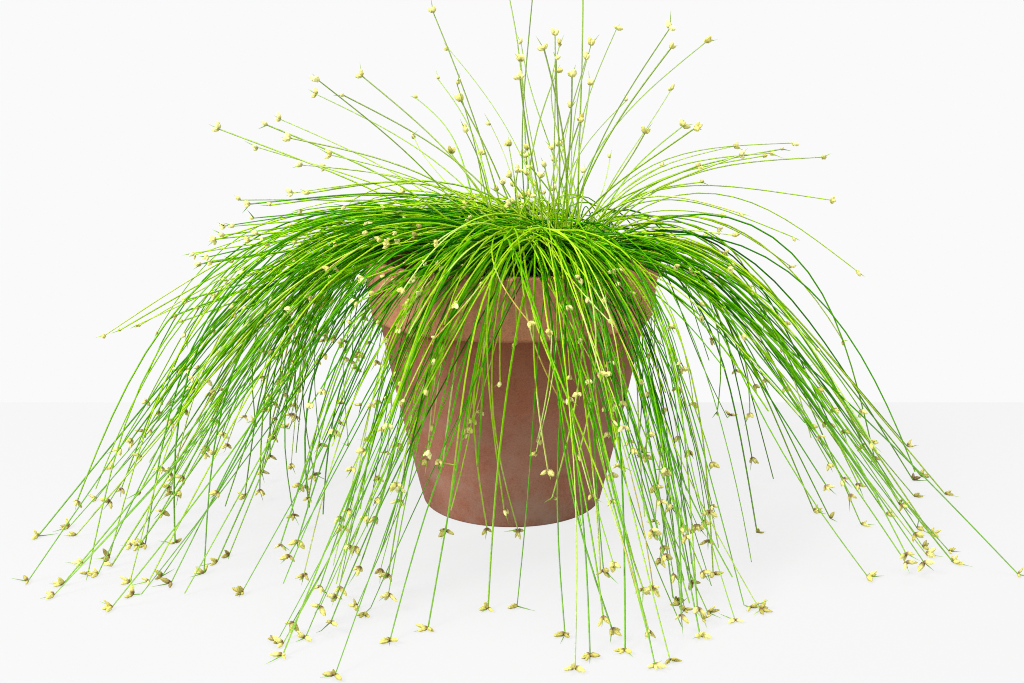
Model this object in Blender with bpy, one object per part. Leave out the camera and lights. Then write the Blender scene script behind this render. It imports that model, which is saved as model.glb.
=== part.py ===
"""A potted fiber optic grass: clay pot, potting mix, and a tussock whose stems arch out and down.

Metres, +Z up. The origin is the centre of the pot's foot, on the surface that the pot stands on.
The front, where the stems part over the rim, faces -Y, and +X is on the viewer's right.
Directions are in degrees about +Z, from +X towards +Y, so the front is at -90.
"""

import math
from collections import namedtuple

import bmesh
import bpy

# Pot
POT_RADIUS = 0.075
POT_HEIGHT = 0.130
RIM_HEIGHT = 0.0304
RIM_FOOT_RADIUS = 0.0714
BODY_TOP_RADIUS = 0.0679
FOOT_RADIUS = 0.0464
SIDE_BULGE = 0.0008
WALL = 0.006
INNER_FOOT_RADIUS = 0.0414
POT_FLOOR = 0.008
DRAIN_RADIUS = 0.0065
EDGE_ROUND = 0.0015
FOOT_ROUND = 0.0012
RIM_STEP_ROUND = 0.0008
SIDE_STEPS = 3
POT_SIDES = 40

# Potting mix and the plant's crown
GAP = 0.0003
SOIL_LEVEL = 0.1165
SOIL_CROWN_RISE = 0.001
SOIL_EDGE_WIDTH = 0.004
SOIL_EDGE_DIP = 0.001
SOIL_BED_WIDTH = 0.002
CROWN_RADIUS = 0.038
CROWN_TOP = 0.1215
CROWN_ROUND = 0.0012
CROWN_SIDES = 36

# The floor outline that the longest stems reach: an ellipse
SPREAD_X = 0.238
SPREAD_Y = 0.197

# Locks of stems: each rises from the crown as one bundle, and its outer part is parted in two fingers
TRUNK_SECTIONS = 6
FINGER_SECTIONS = 5
FORK_AT = 0.44
SHORT_FINGER_END = 0.88
LOCK_FILL = 0.86
FINGER_SPREAD = 0.14
FINGER_NARROWING = 1.3
TIP_WIDTH = 0.0014
TIP_THICKNESS = 0.0009

# Half the thickness of a lock along its middle and along its two edges, as shares of the whole
RIDGE_HALF = 0.5
EDGE_HALF = 0.3

Ring = namedtuple(
    "Ring", "name base_radius launch stiffness reach tip_height base_thickness thickness spread locks"
)

# Each lock is its direction, and how far it reaches as a share of its ring's reach.
HIGH_RING = Ring(
    name="high_lock",
    base_radius=0.0135,
    launch=62,
    stiffness=5.0,
    reach=1.0,
    tip_height=0.0008,
    base_thickness=0.0040,
    thickness=0.0075,
    spread=15,
    locks=(
        (-166, 1.01), (-153, 1.07), (-139, 0.94), (-119, 0.93), (-106, 1.02), (-70, 0.95), (-57, 0.86),
        (-27, 1.08), (-13, 1.00), (2, 0.98), (18, 1.08), (38, 1.00), (60, 0.97), (82, 1.02),
        (104, 0.97), (124, 1.00), (143, 0.97), (160, 1.08), (177, 0.98),
    ),
)
MIDDLE_RING = Ring(
    name="middle_lock",
    base_radius=0.0235,
    launch=60,
    stiffness=5.5,
    reach=0.80,
    tip_height=0.0008,
    base_thickness=0.0045,
    thickness=0.0065,
    spread=20,
    locks=(
        (-174, 1.00), (-158, 1.04), (-135, 0.92), (-117, 1.03), (-102, 0.94), (-66, 1.04), (-48, 0.90),
        (-22, 1.02), (2, 0.98), (28, 1.04), (60, 0.96), (94, 1.02), (126, 0.97), (154, 1.03),
    ),
)
LOW_RING = Ring(
    name="low_lock",
    base_radius=0.0325,
    launch=54,
    stiffness=5.5,
    reach=0.60,
    tip_height=0.012,
    base_thickness=0.0045,
    thickness=0.0055,
    spread=26,
    locks=(
        (-162, 1.00), (-127, 0.98), (-107, 1.06), (-60, 1.06), (-30, 0.94), (10, 1.02), (52, 0.96),
        (96, 1.04), (136, 0.98), (176, 1.02),
    ),
)

# Single long stems that stand out above the rest: the direction and the radius on the crown
# where each one starts, and the place of its tip
OUTER_START = 0.0075
INNER_START = 0.0030
STRAY_STEMS = (
    (178, OUTER_START, (-0.145, 0.010, 0.191)),
    (200, OUTER_START, (-0.095, -0.015, 0.215)),
    (200, INNER_START, (-0.038, 0.000, 0.247)),
    (110, INNER_START, (-0.004, 0.012, 0.274)),
    (20, INNER_START, (0.034, 0.020, 0.282)),
    (-50, OUTER_START, (0.076, -0.022, 0.239)),
    (30, OUTER_START, (0.096, 0.018, 0.233)),
    (5, OUTER_START, (0.155, 0.020, 0.179)),
    (-22, OUTER_START, (0.152, -0.030, 0.159)),
    (126, OUTER_START, (-0.075, 0.090, 0.222)),
    (90, OUTER_START, (0.012, 0.115, 0.236)),
    (55, OUTER_START, (0.088, 0.078, 0.214)),
    (152, OUTER_START, (-0.110, 0.062, 0.205)),
)
STRAY_STIFFNESS = 3.0
STRAY_RISE = 0.72
UPRIGHT = 89
STRAY_THICKNESS = 0.0017
STRAY_TIP_THICKNESS = 0.0010
STRAY_SECTIONS = 9

# Steps used to add up a stem's length, and to search for how far it droops
CURVE_STEPS = 240
SEARCH_STEPS = 50
MOST_DROOP = math.radians(210)

# Edges that turn more than these angles, in degrees, are shaded sharp
POT_SHARP_ANGLE = 40
STEM_SHARP_ANGLE = 75


def clear_scene():
    for item in list(bpy.data.objects):
        bpy.data.objects.remove(item, do_unlink=True)


def principled(name, colour, roughness):
    material = bpy.data.materials.new(name)
    material.use_nodes = True
    shader = material.node_tree.nodes["Principled BSDF"]
    shader.inputs["Base Color"].default_value = (*colour, 1.0)
    shader.inputs["Roughness"].default_value = roughness
    shader.inputs["Metallic"].default_value = 0.0
    return material


def place(name, work, material, sharp_angle):
    """Turns a bmesh into a named object with smooth faces, sharp only at its real edges."""
    bmesh.ops.recalc_face_normals(work, faces=work.faces)
    mesh = bpy.data.meshes.new(name)
    work.to_mesh(mesh)
    work.free()
    mesh.shade_smooth()
    mesh.set_sharp_from_angle(angle=math.radians(sharp_angle))
    mesh.materials.append(material)
    item = bpy.data.objects.new(name, mesh)
    bpy.context.scene.collection.objects.link(item)
    return item


def turned(name, outline, sides, material, closed):
    """A solid turned about Z from (radius, height) points. An open outline starts and ends on the axis."""
    work = bmesh.new()
    points = [work.verts.new((radius, 0.0, height)) for radius, height in outline]
    pairs = list(zip(points, points[1:]))
    if closed:
        pairs.append((points[-1], points[0]))
    edges = [work.edges.new(pair) for pair in pairs]
    bmesh.ops.spin(
        work, geom=points + edges, axis=(0, 0, 1), cent=(0, 0, 0), angle=2 * math.pi, steps=sides
    )
    bmesh.ops.remove_doubles(work, verts=work.verts, dist=1e-6)
    return place(name, work, material, POT_SHARP_ANGLE)


def side_radius(height):
    """Radius of the pot's body, which swells a little between its foot and its rim."""
    share = height / (POT_HEIGHT - RIM_HEIGHT)
    return FOOT_RADIUS + (BODY_TOP_RADIUS - FOOT_RADIUS) * share + 4 * SIDE_BULGE * share * (1 - share)


def inner_radius(height):
    """Radius of the pot's inner wall, which is straight from its floor to the rim's foot, and above."""
    rim_foot = POT_HEIGHT - RIM_HEIGHT
    middle = BODY_TOP_RADIUS - WALL
    top = POT_RADIUS - WALL
    if height < rim_foot:
        share = (height - POT_FLOOR) / (rim_foot - POT_FLOOR)
        return INNER_FOOT_RADIUS + (middle - INNER_FOOT_RADIUS) * share
    return middle + (top - middle) * (height - rim_foot) / (POT_HEIGHT - EDGE_ROUND - rim_foot)


def make_pot(material):
    """A flared pot with a tall rim that overhangs its body, and a drain hole in its floor."""
    rim_foot = POT_HEIGHT - RIM_HEIGHT
    foot = [(DRAIN_RADIUS, 0.0), (FOOT_RADIUS - FOOT_ROUND, 0.0)]
    levels = [FOOT_ROUND] + [rim_foot * step / SIDE_STEPS for step in range(1, SIDE_STEPS + 1)]
    body = [(side_radius(level), level) for level in levels]
    rim = [
        (RIM_FOOT_RADIUS - RIM_STEP_ROUND, rim_foot),
        (RIM_FOOT_RADIUS, rim_foot + RIM_STEP_ROUND),
        (POT_RADIUS, POT_HEIGHT - EDGE_ROUND),
        (POT_RADIUS - EDGE_ROUND, POT_HEIGHT),
        (POT_RADIUS - WALL + EDGE_ROUND, POT_HEIGHT),
        (POT_RADIUS - WALL, POT_HEIGHT - EDGE_ROUND),
    ]
    inside = [
        (inner_radius(rim_foot), rim_foot),
        (inner_radius(POT_FLOOR), POT_FLOOR),
        (DRAIN_RADIUS, POT_FLOOR),
    ]
    turned("pot", foot + body + rim + inside, POT_SIDES, material, closed=True)


def make_soil(material):
    """Potting mix that fills the pot to just under its rim, with the crown sitting on top."""
    rim_foot = POT_HEIGHT - RIM_HEIGHT
    clear = 2 * GAP
    outline = [
        (0.0, POT_FLOOR + GAP),
        (inner_radius(POT_FLOOR) - clear, POT_FLOOR + GAP),
        (inner_radius(rim_foot) - clear, rim_foot),
        (inner_radius(SOIL_LEVEL) - clear, SOIL_LEVEL - SOIL_EDGE_DIP),
        (inner_radius(SOIL_LEVEL) - SOIL_EDGE_WIDTH, SOIL_LEVEL),
        (CROWN_RADIUS + SOIL_BED_WIDTH, SOIL_LEVEL + SOIL_CROWN_RISE),
        (0.0, SOIL_LEVEL + SOIL_CROWN_RISE),
    ]
    turned("soil", outline, POT_SIDES, material, closed=False)


def make_crown(material):
    """The tussock's base, a low flat-topped mound of stem bases."""
    bottom = SOIL_LEVEL + SOIL_CROWN_RISE + GAP
    outline = [
        (0.0, bottom),
        (CROWN_RADIUS, bottom),
        (CROWN_RADIUS, CROWN_TOP - CROWN_ROUND),
        (CROWN_RADIUS - CROWN_ROUND, CROWN_TOP),
        (0.0, CROWN_TOP),
    ]
    turned("crown", outline, CROWN_SIDES, material, closed=False)


def bend_share(along, stiffness):
    """Share of its whole droop that a stem has made by this share of its length.

    It bends most near its base, and its outer end is nearly straight.
    """
    return 1 - (1 - along) ** stiffness * (1 + stiffness * along)


def stem_angles(launch, droop, stiffness):
    """The stem's slope in radians at the middle of each of its short steps."""
    shares = [bend_share((i + 0.5) / CURVE_STEPS, stiffness) for i in range(CURVE_STEPS)]
    return [math.radians(launch) - droop * share for share in shares]


def stem_curve(start, end, launch, stiffness):
    """Points (radius, height, slope) of a stem from start to end, both (radius, height).

    It leaves at the launch angle in degrees, and droops just enough to land on its end.
    """
    run = end[0] - start[0]
    rise = end[1] - start[1]
    least, most = 0.0, MOST_DROOP
    for _ in range(SEARCH_STEPS):
        droop = (least + most) / 2
        angles = stem_angles(launch, droop, stiffness)
        across = sum(math.cos(angle) for angle in angles)
        up = sum(math.sin(angle) for angle in angles)
        if math.atan2(up, across) > math.atan2(rise, run):
            least = droop
        else:
            most = droop
    step = math.hypot(run, rise) / math.hypot(across, up)
    radius, height = start
    curve = [(radius, height, angles[0])]
    for angle in angles:
        radius += step * math.cos(angle)
        height += step * math.sin(angle)
        curve.append((radius, height, angle))
    return curve


def corner(curve_point, origin, facing, across, above):
    """A point beside a stem's curve: across is to its left, and above is square to its slope.

    The curve's radius is counted from the origin (x, y), in the facing direction in radians.
    """
    radius, height, slope = curve_point
    out = radius - above * math.sin(slope)
    return (
        origin[0] + out * math.cos(facing) - across * math.sin(facing),
        origin[1] + out * math.sin(facing) + across * math.cos(facing),
        height + above * math.cos(slope),
    )


def cut_level(ring, slope, facing, level):
    """The same corners slid along the stem until they all lie at one level, so that it stands there."""
    flat = []
    for x, y, z in ring:
        slide = (level - z) / math.tan(slope)
        flat.append((x + slide * math.cos(facing), y + slide * math.sin(facing), level))
    return flat


def spread_radius(direction):
    """How far the longest stems land from the pot's axis, in this direction."""
    facing = math.radians(direction)
    return 1 / math.hypot(math.cos(facing) / SPREAD_X, math.sin(facing) / SPREAD_Y)


def free_angle(direction, directions, most):
    """The angle that a lock may fill before it meets its neighbours, in degrees."""
    others = [abs((direction - other + 180) % 360 - 180) for other in directions if other != direction]
    return min(most, min(others))


def half_width(radius, angle):
    """Half the width of a lock that fills this angle, at this distance from the pot's axis."""
    return radius * math.tan(math.radians(angle / 2)) * LOCK_FILL


def lock_thickness(along, ring):
    """Thin where it leaves the crown, thickest over the arch, and a point at its end."""
    if along < FORK_AT:
        return ring.base_thickness + (ring.thickness - ring.base_thickness) * along / FORK_AT
    narrowing = (along - FORK_AT) / (1 - FORK_AT)
    return ring.thickness * (1 - narrowing) + TIP_THICKNESS * narrowing


def trunk_ring(point, facing, half, thickness):
    """Six corners of a bundle, thickest along its middle."""
    edge, ridge = EDGE_HALF * thickness, RIDGE_HALF * thickness
    places = ((half, edge), (0.0, ridge), (-half, edge), (-half, -edge), (0.0, -ridge), (half, -edge))
    return [corner(point, (0.0, 0.0), facing, across, above) for across, above in places]


def finger_ring(point, facing, inner, outer, thickness, share):
    """Four corners of one half of a parted bundle, in the order of the trunk's own corners.

    Its inner edge starts as thick as the trunk's middle, and ends as thin as its outer edge.
    """
    edge = EDGE_HALF * thickness
    ridge = (RIDGE_HALF - (RIDGE_HALF - EDGE_HALF) * share) * thickness
    places = ((outer, edge), (inner, ridge), (inner, -ridge), (outer, -edge))
    return [corner(point, (0.0, 0.0), facing, across, above) for across, above in places]


def trunk_rings(ring, curve, facing, angle):
    rings = []
    for i in range(TRUNK_SECTIONS + 1):
        along = FORK_AT * i / TRUNK_SECTIONS
        point = curve[round(along * CURVE_STEPS)]
        rings.append(trunk_ring(point, facing, half_width(point[0], angle), lock_thickness(along, ring)))
    rings[0] = cut_level(rings[0], curve[0][2], facing, CROWN_TOP + GAP)
    return rings


def finger_rings(ring, curve, facing, angle, side, end):
    """The rings of one finger past the fork, down to its tip. Side is 1 for the left and -1 for the right."""
    rings = []
    for i in range(1, FINGER_SECTIONS + 1):
        share = i / FINGER_SECTIONS
        along = FORK_AT + (end - FORK_AT) * share
        point = curve[round(along * CURVE_STEPS)]
        half = half_width(point[0], angle)
        width = half * (1 - share ** FINGER_NARROWING) + TIP_WIDTH * share
        middle = half * (0.5 + FINGER_SPREAD * share)
        thickness = lock_thickness(FORK_AT + (1 - FORK_AT) * share, ring)
        inner, outer = side * (middle - width / 2), side * (middle + width / 2)
        rings.append(finger_ring(point, facing, inner, outer, thickness, share))
    return rings


def bridge(work, lower, upper):
    """Side faces between two rings of the same number of corners."""
    count = len(lower)
    for i in range(count):
        j = (i + 1) % count
        work.faces.new((lower[i], lower[j], upper[j], upper[i]))


def add_ring(work, points):
    return [work.verts.new(point) for point in points]


def make_lock(name, ring, number, material):
    """One bundle that forks into a long finger and a shorter one, as a single closed solid."""
    direction, share = ring.locks[number - 1]
    start = (ring.base_radius, CROWN_TOP + GAP)
    end = (ring.reach * share * spread_radius(direction), ring.tip_height)
    curve = stem_curve(start, end, ring.launch, ring.stiffness)
    facing = math.radians(direction)
    angle = free_angle(direction, [lock[0] for lock in ring.locks], ring.spread)
    long_side = 1 if number % 2 else -1

    work = bmesh.new()
    trunk = [add_ring(work, points) for points in trunk_rings(ring, curve, facing, angle)]
    work.faces.new(trunk[0])
    for lower, upper in zip(trunk, trunk[1:]):
        bridge(work, lower, upper)
    last = trunk[-1]
    halves = {1: [last[0], last[1], last[4], last[5]], -1: [last[2], last[1], last[4], last[3]]}
    for side, lower in halves.items():
        finger_end = 1.0 if side == long_side else SHORT_FINGER_END
        for points in finger_rings(ring, curve, facing, angle, side, finger_end):
            upper = add_ring(work, points)
            bridge(work, lower, upper)
            lower = upper
        work.faces.new(lower)
    place(name, work, material, STEM_SHARP_ANGLE)


def make_locks(ring, material):
    for number in range(1, len(ring.locks) + 1):
        make_lock(f"{ring.name}_{number:02d}", ring, number, material)


def make_stray(name, base_direction, base_radius, tip, material):
    """A long thin stem that rises steeply from the middle of the crown and leans out to its own tip."""
    turn = math.radians(base_direction)
    origin = (base_radius * math.cos(turn), base_radius * math.sin(turn))
    facing = math.atan2(tip[1] - origin[1], tip[0] - origin[0])
    start = (0.0, CROWN_TOP + GAP)
    end = (math.hypot(tip[0] - origin[0], tip[1] - origin[1]), tip[2])
    straight = math.degrees(math.atan2(end[1] - start[1], end[0]))
    launch = straight + STRAY_RISE * (UPRIGHT - straight)
    curve = stem_curve(start, end, launch, STRAY_STIFFNESS)
    rings = []
    for i in range(STRAY_SECTIONS + 1):
        along = i / STRAY_SECTIONS
        point = curve[round(along * CURVE_STEPS)]
        half = (STRAY_THICKNESS * (1 - along) + STRAY_TIP_THICKNESS * along) / 2
        places = ((half, 0.0), (0.0, half), (-half, 0.0), (0.0, -half))
        rings.append([corner(point, origin, facing, across, above) for across, above in places])
    rings[0] = cut_level(rings[0], curve[0][2], facing, CROWN_TOP + GAP)

    work = bmesh.new()
    loops = [add_ring(work, ring) for ring in rings]
    work.faces.new(loops[0])
    for lower, upper in zip(loops, loops[1:]):
        bridge(work, lower, upper)
    work.faces.new(loops[-1])
    place(name, work, material, STEM_SHARP_ANGLE)


def main():
    clear_scene()
    clay = principled("clay", (0.24, 0.115, 0.065), 0.85)
    mix = principled("potting_mix", (0.035, 0.022, 0.014), 0.95)
    sheath = principled("stem_bases", (0.10, 0.12, 0.03), 0.8)
    green = principled("stems", (0.16, 0.42, 0.02), 0.5)
    make_pot(clay)
    make_soil(mix)
    make_crown(sheath)
    for ring in (LOW_RING, MIDDLE_RING, HIGH_RING):
        make_locks(ring, green)
    for number, (base_direction, base_radius, tip) in enumerate(STRAY_STEMS, 1):
        make_stray(f"stray_stem_{number:02d}", base_direction, base_radius, tip, green)


main()
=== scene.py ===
"""The looks of the potted fiber optic grass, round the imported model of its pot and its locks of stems.

Metres, +Z up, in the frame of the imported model: the origin is the centre of the pot's foot, and the
front, where the stems part over the rim, faces -Y.
"""

import math
from collections import namedtuple
from itertools import combinations

import bpy
import numpy as np
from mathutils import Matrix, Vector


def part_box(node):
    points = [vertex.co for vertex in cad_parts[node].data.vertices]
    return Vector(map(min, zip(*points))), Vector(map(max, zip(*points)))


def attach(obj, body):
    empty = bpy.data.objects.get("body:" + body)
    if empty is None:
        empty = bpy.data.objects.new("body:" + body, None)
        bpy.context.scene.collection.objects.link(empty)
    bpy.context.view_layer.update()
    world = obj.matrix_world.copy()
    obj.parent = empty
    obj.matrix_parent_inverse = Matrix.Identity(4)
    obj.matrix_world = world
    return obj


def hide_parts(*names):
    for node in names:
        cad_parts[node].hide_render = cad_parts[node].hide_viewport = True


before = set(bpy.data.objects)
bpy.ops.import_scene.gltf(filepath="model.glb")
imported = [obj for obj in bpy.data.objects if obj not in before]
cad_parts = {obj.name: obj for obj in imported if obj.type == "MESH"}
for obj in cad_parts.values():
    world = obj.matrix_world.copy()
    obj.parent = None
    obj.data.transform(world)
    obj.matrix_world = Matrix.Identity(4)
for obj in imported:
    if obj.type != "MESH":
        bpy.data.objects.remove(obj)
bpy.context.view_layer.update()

# The camera, as it stood for the photograph: its height, its distance in front of the pot's axis,
# how far it looks down, and its focal length in pixels of the photograph
PHOTO_WIDTH = 1024
PHOTO_HEIGHT = 683
CAMERA_DISTANCE = 0.60298
CAMERA_HEIGHT = 0.22403
CAMERA_PITCH = 0.2284
FOCAL_PIXELS = 1200.0
SENSOR_WIDTH = 36.0

# Floor and light
FLOOR_SIZE = 8.0
FLOOR_DROP = 0.0003
BACKDROP_START = 0.18
FLOOR_TONE = 0.930
BACKDROP_TONE = 0.955
FLOOR_GLOW = 0.85
ROOM_LIGHT = 0.20
FLOOR_COLOUR = 0.50
# Place, size and power of each softbox. All of them face the same place.
SOFTBOXES = {
    "key_left": ((-1.15, -1.0, 1.25), (0.6, 0.6), 47),
    "fill_right": ((1.2, -0.7, 0.9), (0.8, 1.0), 10),
    "top": ((0.0, 0.3, 1.6), (1.0, 0.9), 23),
}
LIT_PLACE = (0, 0, 0.1)

# Pot, with the sizes that its solid has
POT_RADIUS, _, POT_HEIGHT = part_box("pot")[1]
RIM_HEIGHT = 0.0304
RIM_FOOT_RADIUS = 0.0714
BODY_TOP_RADIUS = 0.0679
FOOT_RADIUS = 0.0464
SIDE_BULGE = 0.0008
WALL = 0.006
POT_FLOOR = 0.008
DRAIN_RADIUS = 0.0065
POT_SIDES = 192
INNER_FOOT_RADIUS = 0.0414
POT_WOBBLE = 0.0009
# How far its edges are rounded
RIM_ROUND = 0.0016
RIM_FOOT_ROUND = 0.0011
BODY_TOP_ROUND = 0.0007
FOOT_ROUND = 0.0016
DRAIN_ROUND = 0.0005
INNER_ROUND = 0.003

# Potting mix: its surface lies a little below its solid's top, and it narrows with the pot
SOIL_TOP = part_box("soil")[1][2]
SOIL_DIP = 0.0018
SOIL_DEPTH = 0.012
SOIL_GAP = 0.0006
POT_TAPER = 0.24
CRUMBS = 900
CRUMB_SIZES = (0.0005, 0.0014)

# Crown
CROWN_RADIUS, _, CROWN_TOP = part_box("crown")[1]
SHEATHS = 520
SHEATH_LENGTHS = (0.010, 0.024)
SHEATH_RADII = (0.0007, 0.0011)
SHEATH_TAPER = 0.55
SHEATH_RINGS = 5

# Stems
STEM_RINGS = 23
STEM_SIDES = 4
STEM_BASE_RADIUS = 0.00041
STEM_TIP_RADIUS = 0.00030
STEM_ON_FLOOR = 0.0005
RUN_RINGS = 3
CURVE_STEPS = 90
SEARCH_STEPS = 26
MOST_DROOP = math.radians(215)
CREST_STEPS = 11
LEAST_LAUNCH = math.radians(15)
MOST_LAUNCH = math.radians(88)
# How far stems stay clear of the rim. One that doesn't tries again, up to so many times: its stiffness
# is lowered to this share, so that it bends later, and its crest is raised by this much.
RIM_MARGIN = 0.003
LIP_MARGIN = 0.0012
RIM_TRIES = 14
RETRY_STIFFNESS = 0.86
RETRY_RISE = 0.0004
# The last rings of a stem that doesn't run along the floor cover this share of it
END_SHARE = 0.03
GOLDEN_ANGLE = math.pi * (3 - math.sqrt(5))

# How the stems of each ring of locks grow: where on the crown they start, how their starts and their
# ends fan out in degrees, how high their arch is, how far they reach and how much of their way they
# have grown, as shares, and how much of them lands on the floor
Growth = namedtuple(
    "Growth",
    "ring stems start_low start_high start_fan fan crest crest_vary stiffness least_reach least_kept"
    " floor_share tint tint_vary sway crossing",
)
GROWTHS = (
    Growth(
        "high_lock", stems=41, start_low=0.002, start_high=0.022, start_fan=75, fan=4.8, crest=0.1485,
        crest_vary=0.0052, stiffness=4.6, least_reach=0.85, least_kept=0.28, floor_share=0.08,
        tint=0.42, tint_vary=0.27, sway=0.008, crossing=0.026,
    ),
    Growth(
        "middle_lock", stems=34, start_low=0.002, start_high=0.022, start_fan=75, fan=5.6, crest=0.1445,
        crest_vary=0.0042, stiffness=5.2, least_reach=0.82, least_kept=0.26, floor_share=0.05,
        tint=0.41, tint_vary=0.27, sway=0.007, crossing=0.044,
    ),
    Growth(
        "low_lock", stems=29, start_low=0.004, start_high=0.020, start_fan=70, fan=7.0, crest=0.1405,
        crest_vary=0.0030, stiffness=5.6, least_reach=0.82, least_kept=0.26, floor_share=0.02,
        tint=0.41, tint_vary=0.26, sway=0.006, crossing=0.050,
    ),
)
# The stems over the pot whose tips are given below
HANGING_GROWTH = GROWTHS[2]._replace(crest=0.146, stiffness=2.2, tint=0.78, tint_vary=0.08, crossing=0.075)
LEAST_CREST = 0.1335
MOST_REACH = 1.03
MOST_KEPT = 0.98
# Share of the stems that reach the floor and then run along it, and how far
RUN_SHARE = 0.2
RUN_LENGTHS = (0.002, 0.006)
# Over the front and the back, where they land nearer the pot, stems bend this much sooner
FRONT_STIFFNESS = 1.30
# The stems fan out from a place to the right of the pot's axis. Those in front cross over each other:
# they start to the other side of it, by their ring's crossing.
FAN_CENTRE = (0.016, -0.010)
# The ends of stems that don't reach the floor hang about this much nearer to the pot
HANG = 0.008
# Share of the stems that end in a flower head
HEADED_SHARE = 0.78

# A stem's tint runs from dark green at 0 by bright green and pale green to red-brown at 1. Its dark end
# is partly the stems' own deep green and partly painted shade, for the shade deep among the stems. The
# stems of a low arch, which lie under the others, get a darker tint: painted shade, for the shade that
# the others cast on them. A few stems are pale or wilted.
LEAST_TINT = 0.03
MOST_TINT = 0.80
LEAST_GIVEN_TINT = 0.20
UNDER_PAINTED_SHADE = 0.14
PALE_SHARE = 0.016
PALE_TINTS = (0.86, 0.90)
PALE_TINT = 0.87
LEAST_PALE_TINT = 0.855
WILTED_SHARE = 0.007
WILTED_TINTS = (0.92, 1.0)
WILTED_TINT = 0.95

# Tall stems, and the shorter ones that stand in a tuft among them
TALL_SPREAD = 0.13
MOST_HEIGHT = 0.279
TALL_SWAY = 0.004
TALL_TINT = 0.76
TALL_TINT_VARY = 0.07
TALL_TINTS = (0.50, 0.84)
TUFT_STEMS = 40
TUFT_SLOPES = (44, 82)
TUFT_LENGTHS = (0.022, 0.076)
TUFT_TURNS = (-110, 140)

# Flower heads. They are bigger low down and high up than in between.
SPIKELET_LENGTHS = (0.0023, 0.0036)
SPIKELET_WIDTHS = (0.26, 0.36)
SPIKELET_RINGS = np.array((0.0, 0.10, 0.28, 0.50, 0.72, 0.90, 1.0))
SPIKELET_PROFILE = np.array((0.36, 0.76, 1.0, 1.0, 0.80, 0.44, 0.08))
SPIKELET_SIDES = 6
SPIKELET_SPIN = 2.4
SPIKELET_ANGLES = (18, 66)
BRACT_LENGTHS = (0.0026, 0.0062)
BRACT_RADIUS = 0.00028
BRACT_TAPER = np.array((1.0, 0.85, 0.55, 0.12))
LOW_HEADS_UNDER = 0.09
HIGH_HEADS_OVER = 0.15
HIGH_HEADS_RISE = 0.04
LYING_UNDER = 0.004

# A lock's stems hang together in bundles of about this many, which fan out this little, in degrees
BUNDLE = 5
BUNDLE_FAN = 2.7
BUNDLE_REACH = 0.03
BUNDLE_CREST = 0.003

# What sets some locks apart: their share of their ring's stems, how much lower their arch is, their
# share of their solid's reach, how far round they turn, in degrees, and how much yellower they are.
# There are few stems over the front of the pot, to its right, and between the left sweep and the front.
# The locks are named by their ring and their number.
LockWay = namedtuple("LockWay", "stems lower reach turn tint", defaults=(1.0, 0.0, 1.0, 0.0, 0.0))
LOCK_WAYS = {
    "high_lock": {
        1: LockWay(0.50, 0.003, 0.97),
        2: LockWay(0.24, turn=-1),
        3: LockWay(0.10, turn=-4),
        4: LockWay(0.84, 0.003, turn=-4, tint=0.05),
        5: LockWay(0.30, 0.003, turn=-10),
        6: LockWay(0.98, 0.004, turn=4, tint=0.10),
        7: LockWay(0.44, 0.004, turn=-2, tint=0.10),
        8: LockWay(0.60, 0.010, 0.92, tint=0.14),
        9: LockWay(0.30, 0.010, 0.97, tint=0.14),
        10: LockWay(0.14, 0.008, tint=0.12),
        11: LockWay(0.12, 0.006, tint=0.10),
        12: LockWay(0.12, 0.004),
        13: LockWay(0.50, 0.004),
        14: LockWay(1.00, 0.004),
        15: LockWay(1.00, 0.004),
        16: LockWay(0.35, 0.004),
        17: LockWay(1.00, 0.002),
        18: LockWay(0.80, 0.003),
        19: LockWay(0.74, 0.003, 0.95),
    },
    "middle_lock": {
        1: LockWay(0.76, reach=1.01),
        2: LockWay(0.12, turn=-5),
        3: LockWay(0.06),
        4: LockWay(0.88, 0.002, turn=-5, tint=0.05),
        5: LockWay(0.06),
        6: LockWay(0.74, 0.003, turn=6, tint=0.10),
        7: LockWay(0.18, reach=1.08, tint=0.10),
        8: LockWay(0.42, 0.006, 1.14, tint=0.12),
        9: LockWay(0.20, 0.005, tint=0.12),
        10: LockWay(0.14, 0.005, tint=0.10),
        11: LockWay(0.30, 0.004),
        14: LockWay(1.00, reach=1.05),
    },
    "low_lock": {
        1: LockWay(0.15),
        2: LockWay(0.28, reach=1.12),
        3: LockWay(0.08),
        4: LockWay(0.44, reach=1.12, turn=8, tint=0.10),
        5: LockWay(0.10),
        6: LockWay(0.22),
        7: LockWay(0.22),
    },
}
# The back locks face between these directions. Most of their stems are shorter than the rest.
BACK_FROM, BACK_TO = math.radians(24), math.radians(150)
BACK_KEPT = (0.22, 0.80)
BACK_FLOOR_SHARE = 0.06

# Tips in the photograph's pixels: those lying on the floor, those hanging over the pot, of which some
# are pale and some wilted, those of short stems on the dome and the left sweep, and those of the tall
# stems that stand out above the rest. Most were read off the photograph. The last of the hanging
# ones, all but the first two of the pale ones, the last three of the wilted ones and those above its top
# edge are guesses.
FLOOR_TIPS = (
    (28, 581), (38, 536), (54, 595), (63, 584), (69, 527), (76, 535), (83, 563), (88, 573), (98, 574),
    (109, 558), (112, 565), (112, 607), (130, 582), (131, 546), (138, 547), (145, 546), (149, 581),
    (162, 576), (171, 583), (175, 543), (204, 573), (217, 562), (229, 555), (242, 592), (278, 640),
    (335, 675), (390, 640), (428, 628), (488, 608), (517, 606), (565, 634), (575, 668), (590, 655),
    (625, 650), (655, 665), (700, 635), (735, 620), (757, 532), (760, 610), (814, 511), (830, 518),
    (861, 524), (868, 577), (886, 514), (899, 504), (907, 446), (913, 480), (914, 496), (917, 528),
    (921, 476), (923, 547), (926, 554), (931, 534), (945, 494), (949, 551), (953, 562), (1018, 574),
)
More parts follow.
